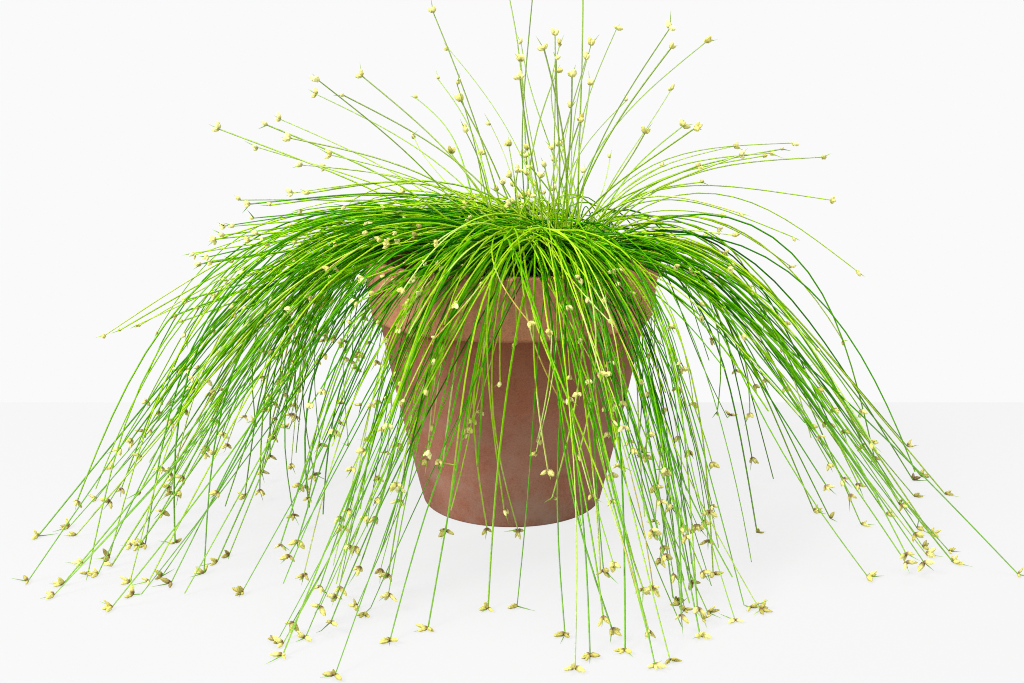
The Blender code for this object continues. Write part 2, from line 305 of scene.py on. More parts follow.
HANGING_TIPS = (
    (500, 382), (517, 342), (549, 331), (538, 438), (536, 452), (504, 509), (552, 498), (591, 494),
    (579, 453), (466, 433), (426, 389), (409, 364), (456, 304), (608, 320), (570, 375), (569, 398),
    (606, 407), (427, 459), (443, 463), (629, 440), (623, 401), (487, 528), (518, 530), (446, 530),
)
PALE_TIPS = ((474, 419), (587, 398), (548, 470), (433, 424), (612, 500), (400, 500), (655, 520))
WILTED_TIPS = ((435, 338), (481, 411), (529, 322), (398, 372), (560, 400), (640, 380))
SHORT_TIPS = (
    (292, 193), (309, 193), (250, 204), (271, 205), (254, 218), (225, 226), (234, 226), (224, 235),
    (216, 239), (194, 253), (208, 257), (201, 264), (212, 261), (233, 260), (245, 272), (258, 234),
    (263, 238), (269, 244), (249, 240), (214, 293), (199, 308), (176, 315), (137, 325), (186, 300),
    (183, 321), (227, 280), (296, 243), (295, 259), (234, 305), (236, 314), (247, 307), (251, 290),
    (273, 298), (282, 304), (294, 308), (287, 312), (311, 293), (332, 300), (268, 317), (269, 324),
    (251, 324), (362, 279), (374, 293), (357, 302), (351, 323), (345, 206), (330, 241), (385, 209),
    (369, 221), (373, 224), (368, 233), (380, 239), (390, 239), (389, 245), (396, 212), (406, 220),
    (422, 226), (416, 236), (396, 232), (426, 262), (443, 266), (415, 279), (410, 301), (420, 294),
    (434, 300), (445, 296), (457, 302), (454, 233), (453, 247), (470, 218), (467, 205), (491, 260),
    (496, 259), (533, 232), (546, 240), (580, 278), (606, 298), (593, 305), (355, 211), (363, 279),
    (385, 277), (406, 265), (397, 323), (408, 314), (413, 333), (447, 323), (464, 330), (477, 325),
    (410, 353), (427, 388),
)
UPRIGHT_TIPS = (
    (433, 12), (448, 48), (318, 80), (316, 94), (362, 76), (343, 95), (280, 119), (267, 125), (219, 129),
    (257, 147), (290, 138), (416, 98), (457, 84), (461, 101), (438, 79), (465, 130), (413, 135), (451, 153),
    (302, 165), (325, 167), (331, 155), (240, 200), (215, 240), (195, 255), (105, 335), (120, 330),
    (140, 325), (505, -22), (535, -30), (583, -26), (521, 61), (520, 78), (521, 43), (544, 49), (555, 35),
    (560, 44), (556, 58), (557, 71), (591, 45), (586, 59), (617, 28), (572, 76), (590, 85), (571, 108),
    (580, 120), (626, 101), (645, 133), (671, 48), (671, 90), (670, 28), (706, 42), (683, 126), (695, 128),
    (792, 143), (782, 149), (823, 157), (831, 200), (857, 271), (734, 146), (740, 155), (770, 153),
    (763, 156), (697, 166), (661, 167), (702, 182), (740, 213), (793, 237), (790, 266), (729, 264),
    (722, 215), (733, 235),
)
# Short tips left of this column of the photograph are in the left sweep. The others lie on the near side
# of the dome, which comes nearer to the camera over these rows.
SWEEP_COLUMN = 340
SWEEP_DEPTH = -0.03
DOME_ROW = 205
DOME_ROWS = 80
DOME_DEPTH = -0.02
DOME_SWELL = 0.064
# Hanging tips are about this deep, in front of the pot's axis, and up to this much nearer or further
HANGING_DEPTH = -0.098
HANGING_SPREAD = 0.016


def unit(vectors):
    return vectors / np.linalg.norm(vectors, axis=-1, keepdims=True)


def level_ways(turn):
    """Level unit vectors that point these ways round the pot."""
    return np.stack((np.cos(turn), np.sin(turn), np.zeros_like(turn)), -1)


def beside_of(level):
    """The level vectors at a right angle to these, to their left."""
    return level[:, [1, 0, 2]] * (-1, 1, 1)


def round_places(radius, turn, height):
    """Places at these radii and turns about the pot's axis, and at these heights."""
    return np.stack((radius * np.cos(turn), radius * np.sin(turn), height + np.zeros_like(turn)), -1)


def sight_line(pixel):
    """The camera's place, and the direction in which it sees a pixel of the photograph."""
    across = (pixel[0] - PHOTO_WIDTH / 2) / FOCAL_PIXELS
    up = (PHOTO_HEIGHT / 2 - pixel[1]) / FOCAL_PIXELS
    sine, cosine = math.sin(CAMERA_PITCH), math.cos(CAMERA_PITCH)
    direction = np.array((across, cosine + up * sine, -sine + up * cosine))
    return np.array((0.0, -CAMERA_DISTANCE, CAMERA_HEIGHT)), direction


def on_floor(pixel):
    """The place of a stem that lies on the floor and is seen at a pixel."""
    place, direction = sight_line(pixel)
    return place + direction * (STEM_ON_FLOOR - place[2]) / direction[2]


def at_depth(pixel, depth):
    """The point seen at a pixel, this far behind the pot's axis."""
    place, direction = sight_line(pixel)
    return place + direction * (depth - place[1]) / direction[1]


def short_tip(pixel):
    """Where a short stem ends: on the near side of the dome, which is nearer to the camera low down."""
    if pixel[0] < SWEEP_COLUMN:
        return at_depth(pixel, SWEEP_DEPTH)
    low = min(1.0, max(0.0, (pixel[1] - DOME_ROW) / DOME_ROWS))
    return at_depth(pixel, DOME_DEPTH - DOME_SWELL * low)


# Shapes are kept as arrays until they are made into pieces: corners, the faces' loops of corners,
# how many corners each face has, each loop's place on the bake's map, and numbers for each corner.
Shape = namedtuple("Shape", "corners loops totals places values")
SHARP_ANGLE = math.radians(50)


def tube_places(count, rings, sides, columns):
    """The tubes' places on the map: each tube has a cell, with its sides as strips and its two ends."""
    ends, edge, filled = 0.03, 0.02, 0.96
    ring = np.arange(rings - 1)[:, None, None]
    side = np.arange(sides)[None, :, None]
    along = ends + (1 - 2 * ends) * (ring + np.array((0, 0, 1, 1))) / (rings - 1) + 0 * side
    across = (side + np.array((0, 1, 1, 0)) * (1 - edge)) / sides + 0 * ring
    walls = np.stack((along, across), -1).reshape(-1, 2)
    turn = 2 * np.pi * np.arange(sides) / sides
    cap = np.column_stack((0.5 + 0.5 * np.cos(turn), 0.5 + 0.5 * np.sin(turn)))
    cap_size = (ends * 0.8, 0.9)
    first = cap * cap_size
    last = first + (1 - cap_size[0], 0)
    cell = np.concatenate((walls, first[::-1], last))
    rows = math.ceil(count / columns)
    index = np.arange(count)
    corner = np.stack((index % columns, index // columns), -1)[:, None, :]
    return ((corner + cell[None] * filled) / (columns, rows)).reshape(-1, 2)


def tubes(points, radii, across, sides, columns=1, **values):
    """Closed tubes through rows of points. Radii are for each ring, or for each of its corners.

    Across is a vector for each tube that it doesn't run along. Values are one number for each tube.
    """
    count, rings = points.shape[:2]
    forward = unit(np.gradient(points, axis=1))
    side = across[:, None, :] - forward * np.sum(across[:, None, :] * forward, -1, keepdims=True)
    side = unit(side)
    above = np.cross(forward, side)
    turn = 2 * np.pi * np.arange(sides) / sides
    spokes = side[:, :, None] * np.cos(turn)[:, None] + above[:, :, None] * np.sin(turn)[:, None]
    if radii.ndim == 2:
        radii = radii[:, :, None]
    corners = points[:, :, None] + spokes * radii[..., None]

    number = np.arange(count * rings * sides).reshape(count, rings, sides)
    following = np.roll(number, -1, axis=2)
    walls = np.stack((number[:, :-1], following[:, :-1], following[:, 1:], number[:, 1:]), -1)
    walls = walls.reshape(count, -1)
    loops = np.concatenate((walls, number[:, 0, ::-1], number[:, -1]), axis=1).reshape(-1)
    totals = np.tile([4] * ((rings - 1) * sides) + [sides] * 2, count)
    along = np.broadcast_to(np.linspace(0, 1, rings)[None, :, None], number.shape)
    kept = {"along": along.reshape(-1)}
    for key, value in values.items():
        kept[key] = np.repeat(value, rings * sides)
    return Shape(corners.reshape(-1, 3), loops, totals, tube_places(count, rings, sides, columns), kept)


def make_piece(name, shape, material, replaced=()):
    """Makes a shape into an object that rides on the part."""
    mesh = bpy.data.meshes.new(name)
    mesh.vertices.add(len(shape.corners))
    mesh.vertices.foreach_set("co", shape.corners.astype(np.float32).reshape(-1))
    mesh.loops.add(len(shape.loops))
    mesh.loops.foreach_set("vertex_index", shape.loops.astype(np.int32))
    mesh.polygons.add(len(shape.totals))
    starts = np.concatenate(([0], np.cumsum(shape.totals)[:-1]))
    mesh.polygons.foreach_set("loop_start", starts.astype(np.int32))
    if shape.places is not None:
        layer = mesh.uv_layers.new(name="OFBake")
        layer.uv.foreach_set("vector", shape.places.astype(np.float32).reshape(-1))
    for key, numbers in shape.values.items():
        attribute = mesh.attributes.new(key, "FLOAT", "POINT")
        attribute.data.foreach_set("value", numbers.astype(np.float32))
    mesh.update(calc_edges=True)
    mesh.validate()
    mesh.shade_smooth()
    mesh.set_sharp_from_angle(angle=SHARP_ANGLE)
    mesh.materials.append(material)
    item = bpy.data.objects.new(name, mesh)
    bpy.context.scene.collection.objects.link(item)
    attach(item, "root")
    if replaced:
        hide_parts(*replaced)


# Materials


def new_material(name):
    material = bpy.data.materials.new(name)
    material.use_nodes = True
    tree = material.node_tree
    return material, tree, tree.nodes["Principled BSDF"]


def feed(tree, socket, value):
    """Links a socket to another, or sets it to a number or a colour."""
    if isinstance(value, bpy.types.NodeSocket):
        tree.links.new(value, socket)
    elif isinstance(value, tuple):
        socket.default_value = (*value, 1.0)
    else:
        socket.default_value = value


def add_node(tree, kind, inputs=None, **settings):
    """A node with its settings, and its inputs as values or as sockets to link."""
    node = tree.nodes.new(kind)
    for key, value in settings.items():
        setattr(node, key, value)
    for key, value in (inputs or {}).items():
        feed(tree, node.inputs[key], value)
    return node


def object_place(tree):
    return add_node(tree, "ShaderNodeTexCoord").outputs["Object"]


def part_of(tree, place, axis="Z"):
    return add_node(tree, "ShaderNodeSeparateXYZ", {"Vector": place}).outputs[axis]


def attribute(tree, name):
    return add_node(tree, "ShaderNodeAttribute", attribute_name=name).outputs["Fac"]


def noise(tree, place, scale, detail=2.0, roughness=0.5):
    inputs = {"Vector": place, "Scale": scale, "Detail": detail, "Roughness": roughness}
    return add_node(tree, "ShaderNodeTexNoise", inputs).outputs["Fac"]


def ramp(tree, factor, stops):
    """A colour ramp from (place, colour) stops."""
    node = add_node(tree, "ShaderNodeValToRGB", {"Fac": factor})
    elements = node.color_ramp.elements
    while len(elements) < len(stops):
        elements.new(0.5)
    for element, (place, colour) in zip(elements, stops):
        element.position = place
        element.color = (*colour, 1.0)
    return node.outputs["Color"]


def grey_ramp(tree, factor, stops):
    return ramp(tree, factor, [(place, (value,) * 3) for place, value in stops])


# Which of a mix node's sockets are those for colours. It has sockets of other kinds too.
MIX_FACTOR, MIX_FIRST, MIX_SECOND, MIX_RESULT = 0, 6, 7, 2


def mixed(tree, factor, first, second, blend="MIX"):
    node = add_node(tree, "ShaderNodeMix", data_type="RGBA", blend_type=blend)
    for index, value in ((MIX_FACTOR, factor), (MIX_FIRST, first), (MIX_SECOND, second)):
        feed(tree, node.inputs[index], value)
    return node.outputs[MIX_RESULT]


def product(tree, first, second):
    return mixed(tree, 1.0, first, second, "MULTIPLY")


def arithmetic(tree, operation, first, second):
    node = add_node(tree, "ShaderNodeMath", operation=operation)
    for socket, value in zip(node.inputs, (first, second)):
        feed(tree, socket, value)
    return node.outputs[0]


def finish_surface(tree, shader, colour, rough, relief, strength, distance):
    """Gives a shader its colour, its roughness and its relief. Strength and distance are the relief's."""
    tree.links.new(colour, shader.inputs["Base Color"])
    tree.links.new(rough, shader.inputs["Roughness"])
    bump = add_node(tree, "ShaderNodeBump", {"Height": relief, "Strength": strength, "Distance": distance})
    tree.links.new(bump.outputs["Normal"], shader.inputs["Normal"])


def clay_material():
    """Mocha-brown unglazed clay: paler and pinker on the rim, with fine grain and a grey bloom below."""
    material, tree, shader = new_material("pot_clay")
    place = object_place(tree)
    level = arithmetic(tree, "DIVIDE", part_of(tree, place), POT_HEIGHT)
    cloud = noise(tree, place, 22.0, 4.0, 0.6)
    wavy_level = arithmetic(tree, "ADD", level, arithmetic(tree, "MULTIPLY", cloud, 0.03))
    rim_foot = (POT_HEIGHT - RIM_HEIGHT) / POT_HEIGHT
    base = ramp(tree, wavy_level, (
        (0.0, (0.362, 0.142, 0.085)),
        (0.30, (0.350, 0.131, 0.079)),
        (rim_foot - 0.05, (0.300, 0.104, 0.056)),
        (rim_foot + 0.010, (0.315, 0.103, 0.052)),
        (rim_foot + 0.03, (0.575, 0.246, 0.134)),
        (0.97, (0.590, 0.260, 0.143)),
    ))
    patches = ramp(tree, cloud, ((0.3, (0.86, 0.84, 0.82)), (0.7, (1.12, 1.12, 1.14))))
    grain = noise(tree, place, 1400.0, 3.0, 0.7)
    specks = ramp(tree, grain, (
        (0.30, (0.72, 0.70, 0.68)),
        (0.46, (1.0, 1.0, 1.0)),
        (0.72, (1.28, 1.27, 1.26)),
    ))
    grained = product(tree, product(tree, base, patches), specks)
    bloom_low_down = grey_ramp(tree, level, ((0.0, 0.52), (0.35, 0.28), (0.70, 0.0)))
    bloom_patches = grey_ramp(tree, noise(tree, place, 60.0, 5.0, 0.65), ((0.36, 0.0), (0.68, 1.0)))
    bloom = arithmetic(tree, "MULTIPLY", bloom_low_down, bloom_patches)
    colour = mixed(tree, bloom, grained, (0.47, 0.36, 0.29))
    shader.inputs["Specular IOR Level"].default_value = 0.25
    rough = grey_ramp(tree, cloud, ((0.3, 0.72), (0.7, 0.88)))
    coarse = noise(tree, place, 320.0, 3.0, 0.6)
    relief = arithmetic(tree, "ADD", grain, arithmetic(tree, "MULTIPLY", coarse, 0.8))
    finish_surface(tree, shader, colour, rough, relief, 0.5, 0.00012)
    return material


def mix_material():
    """Dark moist potting mix, with paler fibres."""
    material, tree, shader = new_material("potting_mix")
    place = object_place(tree)
    coarse = noise(tree, place, 160.0, 5.0, 0.7)
    fine = noise(tree, place, 900.0, 3.0, 0.6)
    base = ramp(tree, coarse, (
        (0.30, (0.010, 0.006, 0.005)),
        (0.52, (0.030, 0.018, 0.012)),
        (0.66, (0.060, 0.036, 0.022)),
        (0.80, (0.120, 0.080, 0.045)),
    ))
    shade = grey_ramp(tree, fine, ((0.3, 0.7), (0.7, 1.3)))
    rough = grey_ramp(tree, fine, ((0.3, 0.75), (0.7, 0.98)))
    relief = arithmetic(tree, "ADD", coarse, fine)
    finish_surface(tree, shader, product(tree, base, shade), rough, relief, 0.8, 0.0006)
    return material


# Stem colours by tint. The darkest are partly painted shade, for the shade deep among the stems.
STEM_COLOURS = (
    (0.00, (0.004, 0.054, 0.001)),
    (0.22, (0.016, 0.138, 0.001)),
    (0.46, (0.062, 0.320, 0.001)),
    (0.64, (0.170, 0.440, 0.002)),
    (0.78, (0.330, 0.555, 0.010)),
    (0.84, (0.400, 0.600, 0.030)),
    (0.88, (0.540, 0.680, 0.220)),
    (0.95, (0.560, 0.450, 0.080)),
    (1.00, (0.360, 0.170, 0.050)),
)


def stem_material():
    """Satin green stems: each has a tint of its own, and is paler at its sheath and towards its head.

    Near the floor they are painted paler: painted light, for soft front light that does not reach them
    there. High above the crown they are painted a duller green: painted shade, which tones down the light
    that falls on the tall stems. The pale ones and the wilted ones are so in their outer parts alone.
    """
    material, tree, shader = new_material("stem_green")
    place = object_place(tree)
    tint = attribute(tree, "tint")
    along = attribute(tree, "along")
    patches = noise(tree, place, 45.0, 3.0, 0.6)
    shift = arithmetic(tree, "MULTIPLY", arithmetic(tree, "SUBTRACT", patches, 0.5), 0.16)
    wilted = arithmetic(tree, "GREATER_THAN", tint, LEAST_PALE_TINT)
    fresh = grey_ramp(tree, along, ((0.58, 0.30), (0.78, 0.0)))
    own = arithmetic(tree, "SUBTRACT", tint, arithmetic(tree, "MULTIPLY", wilted, fresh))
    ripe = grey_ramp(tree, along, ((0.38, 0.0), (0.66, 0.24), (1.0, 0.42)))
    riper = arithmetic(tree, "MULTIPLY", arithmetic(tree, "SUBTRACT", 1.0, own), ripe)
    ripened = arithmetic(tree, "ADD", own, riper)
    base = ramp(tree, arithmetic(tree, "ADD", ripened, shift), STEM_COLOURS)
    sheath = grey_ramp(tree, along, ((0.0, 0.70), (0.04, 0.30), (0.10, 0.0)))
    sheathed = mixed(tree, sheath, base, (0.22, 0.48, 0.004))
    height = part_of(tree, place)
    # Painted light: stems near the floor are painted paler, for soft front light that does not reach them.
    low_painted_light = grey_ramp(tree, height, ((0.0, 0.54), (0.040, 0.28), (0.074, 0.0)))
    lit_low_down = mixed(tree, low_painted_light, sheathed, (0.320, 0.490, 0.125))
    # Painted shade: stems high above the crown are painted a duller green, to tone down the light on them.
    high_painted_shade = grey_ramp(tree, height, ((0.155, 0.0), (0.200, 0.80)))
    painted_light_and_shade = mixed(tree, high_painted_shade, lit_low_down, (0.245, 0.365, 0.100))
    streaks = noise(tree, place, 700.0, 2.0, 0.5)
    shade = ramp(tree, streaks, ((0.3, (0.82, 0.84, 0.80)), (0.7, (1.16, 1.14, 1.18))))
    rough = grey_ramp(tree, patches, ((0.3, 0.20), (0.7, 0.32)))
    shader.inputs["Specular IOR Level"].default_value = 0.02
    finish_surface(tree, shader, product(tree, painted_light_and_shade, shade), rough, streaks, 0.25, 0.0001)
    return material


def head_material():
    """Straw-coloured flower heads, speckled by their scales, and brown at their bases, most so low down."""
    material, tree, shader = new_material("head_straw")
    place = object_place(tree)
    tint = attribute(tree, "tint")
    along = attribute(tree, "along")
    straw = ramp(tree, tint, (
        (0.00, (0.20, 0.14, 0.040)),
        (0.22, (0.40, 0.35, 0.072)),
        (0.48, (0.64, 0.60, 0.140)),
        (0.78, (0.79, 0.75, 0.240)),
        (1.00, (0.86, 0.84, 0.350)),
    ))
    base = grey_ramp(tree, along, ((0.0, 0.96), (0.26, 0.80), (0.46, 0.0)))
    low_down = grey_ramp(tree, part_of(tree, place), ((0.030, 1.0), (0.120, 0.40)))
    brown = arithmetic(tree, "MULTIPLY", base, low_down)
    based = mixed(tree, brown, straw, (0.13, 0.048, 0.020))
    scales = noise(tree, place, 1500.0, 2.0, 0.6)
    shade = ramp(tree, scales, (
        (0.30, (0.62, 0.52, 0.42)),
        (0.45, (1.0, 1.0, 1.0)),
        (0.72, (1.12, 1.12, 1.10)),
    ))
    rough = grey_ramp(tree, scales, ((0.3, 0.50), (0.7, 0.72)))
    finish_surface(tree, shader, product(tree, based, shade), rough, scales, 0.4, 0.0002)
    return material


def sheath_material():
    """Papery stem bases, from brown at the mix to pale yellow-green."""
    material, tree, shader = new_material("sheath")
    place = object_place(tree)
    along = attribute(tree, "along")
    tint = attribute(tree, "tint")
    base = ramp(tree, along, (
        (0.0, (0.075, 0.040, 0.020)),
        (0.25, (0.19, 0.125, 0.055)),
        (0.6, (0.30, 0.31, 0.085)),
        (1.0, (0.24, 0.44, 0.045)),
    ))
    own = ramp(tree, tint, ((0.0, (0.55, 0.60, 0.50)), (1.0, (1.25, 1.15, 1.1))))
    fibres = noise(tree, place, 600.0, 3.0, 0.6)
    shade = grey_ramp(tree, fibres, ((0.3, 0.7), (0.7, 1.25)))
    colour = product(tree, product(tree, base, own), shade)
    rough = grey_ramp(tree, fibres, ((0.3, 0.6), (0.7, 0.85)))
    finish_surface(tree, shader, colour, rough, fibres, 0.4, 0.0003)
    return material


def floor_material():
    """A pale floor that partly glows, so that shadows on it stay faint, and a paler backdrop beyond it."""
    material, tree, shader = new_material("pale_floor")
    place = object_place(tree)
    beyond = arithmetic(tree, "GREATER_THAN", part_of(tree, place, "Y"), BACKDROP_START)
    tone = mixed(tree, beyond, (FLOOR_TONE,) * 3, (BACKDROP_TONE,) * 3)
    glow = add_node(tree, "ShaderNodeEmission", {"Color": tone})
    blend = add_node(tree, "ShaderNodeMixShader")
    strength = mixed(tree, beyond, (FLOOR_GLOW,) * 3, (1.0,) * 3)
    seen = add_node(tree, "ShaderNodeLightPath").outputs["Is Camera Ray"]
    tree.links.new(arithmetic(tree, "MULTIPLY", strength, seen), blend.inputs[0])
    tree.links.new(shader.outputs["BSDF"], blend.inputs[1])
    tree.links.new(glow.outputs["Emission"], blend.inputs[2])
    tree.links.new(blend.outputs["Shader"], tree.nodes["Material Output"].inputs["Surface"])
    shader.inputs["Base Color"].default_value = (FLOOR_COLOUR, FLOOR_COLOUR, FLOOR_COLOUR, 1.0)
    shader.inputs["Roughness"].default_value = 0.9
    shader.inputs["Specular IOR Level"].default_value = 0.0
    return material


# Pot, potting mix and crown


def side_radius(height):
    """Radius of the pot's body, which swells a little between its foot and its rim."""
    share = height / (POT_HEIGHT - RIM_HEIGHT)
    return FOOT_RADIUS + (BODY_TOP_RADIUS - FOOT_RADIUS) * share + 4 * SIDE_BULGE * share * (1 - share)


def rounded_outline(corners, steps=6):
    """A closed outline from (radius, height, rounding) corners, each rounded by a short curve."""
    outline = []
    count = len(corners)
    for i, (radius, height, rounding) in enumerate(corners):
        here = np.array((radius, height))
        if not rounding:
            outline.append(here)
            continue
        before = np.array(corners[i - 1][:2]) - here
        after = np.array(corners[(i + 1) % count][:2]) - here
        first = here + unit(before) * rounding
        last = here + unit(after) * rounding
        for share in np.linspace(0, 1, steps):
            outline.append((1 - share) ** 2 * first + 2 * share * (1 - share) * here + share ** 2 * last)
    return np.array(outline)


def turned_shape(outline, sides, wobble):
    """A closed outline of (radius, height) points turned about Z, a little out of true."""
    turn = 2 * np.pi * np.arange(sides) / sides
    rings = len(outline)
    true = 1 + wobble * (np.sin(2 * turn + 0.7) + 0.5 * np.sin(5 * turn))[:, None]
    radius = outline[None, :, 0] * true
    height = np.broadcast_to(outline[None, :, 1], radius.shape)
    corners = np.stack((radius * np.cos(turn)[:, None], radius * np.sin(turn)[:, None], height), -1)
    number = np.arange(sides * rings).reshape(sides, rings)
    beside = np.roll(number, -1, axis=0)
    quads = np.stack((number, beside, np.roll(beside, -1, axis=1), np.roll(number, -1, axis=1)), -1)
    return Shape(corners.reshape(-1, 3), quads.reshape(-1), np.full(sides * rings, 4), None, {})


def make_pot(material):
    """The pot, turned from one closed outline: up its outside, over its rim and down its inside."""
    rim_foot = POT_HEIGHT - RIM_HEIGHT
    corners = [(DRAIN_RADIUS, 0.0, DRAIN_ROUND), (FOOT_RADIUS, 0.0, FOOT_ROUND)]
    for height in rim_foot * np.linspace(0.08, 0.96, 12):
        corners.append((side_radius(height), height, 0.0))
    corners += [
        (BODY_TOP_RADIUS, rim_foot, BODY_TOP_ROUND),
        (RIM_FOOT_RADIUS, rim_foot, RIM_FOOT_ROUND),
        (POT_RADIUS, POT_HEIGHT, RIM_ROUND),
        (POT_RADIUS - WALL, POT_HEIGHT, RIM_ROUND),
        (BODY_TOP_RADIUS - WALL, rim_foot, INNER_ROUND),
        (INNER_FOOT_RADIUS, POT_FLOOR, INNER_ROUND),
        (DRAIN_RADIUS, POT_FLOOR, DRAIN_ROUND),
    ]
    shape = turned_shape(rounded_outline(corners), POT_SIDES, POT_WOBBLE)
    make_piece("clay_pot", shape, material, ["pot"])


def disc_shape(radius, rings, sides, height_at, floor):
    """A solid disc whose top follows height_at(x, y), closed by a skirt and a flat floor below."""
    spans = np.append(radius * np.sqrt(np.linspace(0, 1, rings + 1))[1:], radius)[:, None]
    turn = 2 * np.pi * np.arange(sides) / sides
    x = np.append(0.0, spans * np.cos(turn))
    y = np.append(0.0, spans * np.sin(turn))
    z = height_at(x, y)
    z[-sides:] = floor
    corners = np.stack((x, y, z), -1)
    corners = np.concatenate((corners, [(0.0, 0.0, floor)]))
    number = 1 + np.arange((rings + 1) * sides).reshape(rings + 1, sides)
    beside = np.roll(number, -1, axis=1)
    fan = np.stack((np.zeros(sides, int), number[0], beside[0]), -1).reshape(-1)
    quads = np.stack((number[:-1], number[1:], beside[1:], beside[:-1]), -1).reshape(-1)
    under = np.stack((np.full(sides, len(corners) - 1), beside[-1], number[-1]), -1).reshape(-1)
    loops = np.concatenate((fan, quads, under))
    totals = np.array([3] * sides + [4] * (rings * sides) + [3] * sides)
    return Shape(corners, loops, totals, None, {})


def lumpy(x, y, size, seed):
    """Smooth random heights between about -1 and 1, with lumps of about this size."""
    rng = np.random.default_rng(seed)
    total = np.zeros_like(x)
    waves = 14
    for _ in range(waves):
        turn = rng.uniform(0, 2 * np.pi)
        wave = 2 * np.pi / (size * rng.uniform(0.7, 1.6))
        total += np.sin(wave * (x * np.cos(turn) + y * np.sin(turn)) + rng.uniform(0, 2 * np.pi))
    return total / waves ** 0.5


GOLDEN_RATIO = 1.618
ICOSAHEDRON = np.array([
    np.roll((0, s, t * GOLDEN_RATIO), -turn) for turn in range(3) for s in (-1, 1) for t in (-1, 1)
])
ICOSAHEDRON_EDGE = 2


def icosahedron_faces():
    """The 20 triangles between corners that lie next to each other, facing out."""
    near = np.linalg.norm(ICOSAHEDRON[:, None] - ICOSAHEDRON[None], axis=-1) < 1.05 * ICOSAHEDRON_EDGE
    faces = []
    for a, b, c in combinations(range(len(ICOSAHEDRON)), 3):
        if near[a, b] and near[b, c] and near[a, c]:
            normal = np.cross(ICOSAHEDRON[b] - ICOSAHEDRON[a], ICOSAHEDRON[c] - ICOSAHEDRON[a])
            faces.append((a, b, c) if normal @ ICOSAHEDRON[a] > 0 else (a, c, b))
    return np.array(faces)


def crumb_shape(places, sizes, rng):
    """Small angular lumps at these places."""
    count = len(places)
    corners = unit(ICOSAHEDRON)[None] * (1 + rng.uniform(-0.28, 0.28, (count, len(ICOSAHEDRON), 1)))
    corners = corners * (sizes[:, None] * rng.uniform(0.55, 1.3, (count, 3)))[:, None, :]
    spin = np.linalg.qr(rng.normal(size=(count, 3, 3)))[0]
    spin *= np.sign(np.linalg.det(spin))[:, None, None]
    corners = np.einsum("nij,nkj->nki", spin, corners) + places[:, None, :]
    faces = icosahedron_faces()
    loops = (faces[None] + len(ICOSAHEDRON) * np.arange(count)[:, None, None]).reshape(-1)
    return Shape(corners.reshape(-1, 3), loops, np.full(count * len(faces), 3), None, {})


def make_soil(material):
    """The mix as a lumpy surface in the pot, with loose crumbs on it."""
    edge = POT_RADIUS - WALL - SOIL_GAP - (POT_HEIGHT - SOIL_TOP) * POT_TAPER

    def height_at(x, y):
        return SOIL_TOP - SOIL_DIP + 0.0009 * lumpy(x, y, 0.012, 5) + 0.0004 * lumpy(x, y, 0.004, 6)

    surface = disc_shape(edge, 34, 96, height_at, SOIL_TOP - SOIL_DEPTH)
    rng = np.random.default_rng(7)
    radius = np.sqrt(rng.uniform(0.25, 1.0, CRUMBS)) * (edge - 0.002)
    turn = rng.uniform(0, 2 * np.pi, CRUMBS)
    x, y = radius * np.cos(turn), radius * np.sin(turn)
    sizes = rng.uniform(*CRUMB_SIZES, CRUMBS) * rng.choice([1.0, 1.0, 1.6], CRUMBS)
    places = np.stack((x, y, height_at(x, y) + sizes * 0.35), -1)
    crumbs = crumb_shape(places, sizes, rng)
    shape = Shape(
        np.concatenate((surface.corners, crumbs.corners)),
        np.concatenate((surface.loops, crumbs.loops + len(surface.corners))),
        np.concatenate((surface.totals, crumbs.totals)),
        None,
        {},
    )
    make_piece("potting_mix_surface", shape, material, ["soil"])


def make_crown(material):
    """The tussock's base: a crowd of short sheathed stem bases that lean outwards."""
    rng = np.random.default_rng(11)
    index = np.arange(SHEATHS) + 0.5
    radius = (CROWN_RADIUS - 0.001) * np.sqrt(index / SHEATHS)
    turn = index * GOLDEN_ANGLE + rng.normal(0, 0.08, SHEATHS)
    lean = np.radians(4 + 34 * (radius / CROWN_RADIUS) ** 1.5 + rng.normal(0, 5, SHEATHS))
    tall = rng.uniform(*SHEATH_LENGTHS, SHEATHS) * (1.15 - 0.5 * radius / CROWN_RADIUS)
    foot = round_places(radius, turn, SOIL_TOP - 0.001)
    out = level_ways(turn + rng.normal(0, 0.25, SHEATHS))
    share = np.linspace(0, 1, SHEATH_RINGS)[None, :, None]
    bend = lean[:, None, None] * (0.6 + 0.4 * share)
    up = np.array((0.0, 0.0, 1.0))
    points = foot[:, None] + tall[:, None, None] * share * (out[:, None] * np.sin(bend) + up * np.cos(bend))
    radii = rng.uniform(*SHEATH_RADII, SHEATHS)[:, None] * np.linspace(1.0, SHEATH_TAPER, SHEATH_RINGS)
    shape = tubes(points, radii, beside_of(out), 6, columns=8, tint=rng.uniform(0, 1, SHEATHS))
    make_piece("stem_bases", shape, material, ["crown"])


# Stems and heads

# Kept is the share of its way that a stem has grown. One that has grown all of it may run on along the
# floor, by run.
Stems = namedtuple("Stems", "start end launch stiffness kept run tint headed")


def bend_share(along, stiffness):
    """Share of its whole droop that a stem has made by this share of its length."""
    return 1 - (1 - along) ** stiffness * (1 + stiffness * along)


